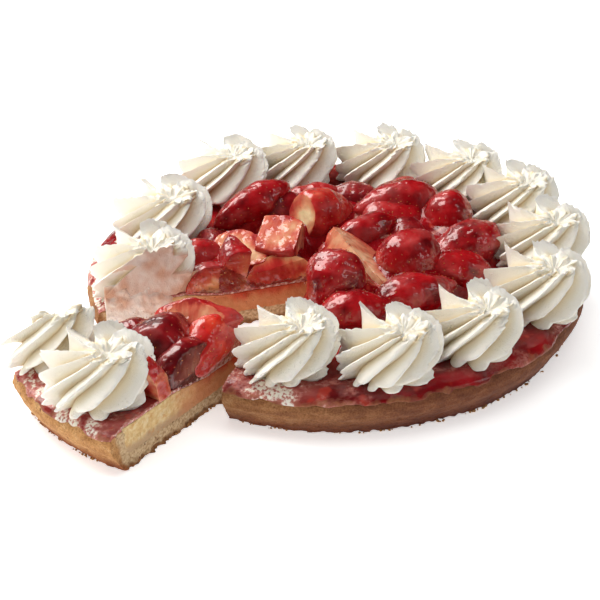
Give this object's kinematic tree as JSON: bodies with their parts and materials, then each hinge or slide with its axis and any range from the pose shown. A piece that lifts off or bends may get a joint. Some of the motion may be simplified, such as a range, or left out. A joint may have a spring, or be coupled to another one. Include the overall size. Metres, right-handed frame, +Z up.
{
  "type": "strawberry tart",
  "caption": "Round strawberry tart with a low pastry case, custard, red jelly, glazed berries and a ring of piped cream rosettes, with a slice drawn half-way out.",
  "frame": {"origin": "middle of the round pastry foot, on the surface that the tart stands on", "axes": "+Z up out of the tart, +X to the right and +Y away, seen from the side where the slice is drawn out to the front left"},
  "size_m": [0.284, 0.2815, 0.0528],
  "materials": {
    "pastry": "baked shortcrust, dry and crumbly",
    "custard": "pale, fine-crumbed baked filling, soft and slightly moist",
    "jelly": "set red fruit jelly, translucent and wet",
    "cream": "whipped cream, soft satin with small pits",
    "strawberry": "glazed strawberry, wet skin with seeds, paler flesh where cut"
  },
  "bodies": {
    "root": {"crust": "pastry", "filling": "custard", "glaze": "jelly", "slice_crust": "pastry", "slice_filling": "custard", "slice_glaze": "jelly", "rosette_1": "cream", "rosette_2": "cream", "rosette_3": "cream", "rosette_4": "cream", "rosette_5": "cream", "rosette_6": "cream", "rosette_7": "cream", "rosette_8": "cream", "rosette_9": "cream", "rosette_10": "cream", "rosette_11": "cream", "rosette_12": "cream", "slice_rosette_1": "cream", "slice_rosette_2": "cream", "strawberry_1": "strawberry", "strawberry_2": "strawberry", "strawberry_3": "strawberry", "strawberry_4": "strawberry", "strawberry_5": "strawberry", "strawberry_6": "strawberry", "strawberry_7": "strawberry", "strawberry_8": "strawberry", "strawberry_9": "strawberry", "strawberry_10": "strawberry", "strawberry_11": "strawberry", "strawberry_12": "strawberry", "strawberry_13": "strawberry", "strawberry_14": "strawberry", "strawberry_15": "strawberry", "strawberry_16": "strawberry", "strawberry_17": "strawberry", "strawberry_18": "strawberry", "strawberry_19": "strawberry", "strawberry_20": "strawberry", "strawberry_21": "strawberry", "strawberry_22": "strawberry", "strawberry_23": "strawberry", "strawberry_24": "strawberry", "strawberry_25": "strawberry", "strawberry_26": "strawberry", "slice_strawberry_1": "strawberry", "slice_strawberry_2": "strawberry", "slice_strawberry_3": "strawberry", "slice_strawberry_4": "strawberry", "slice_strawberry_5": "strawberry", "slice_strawberry_6": "strawberry"}
  },
  "joints": []
}
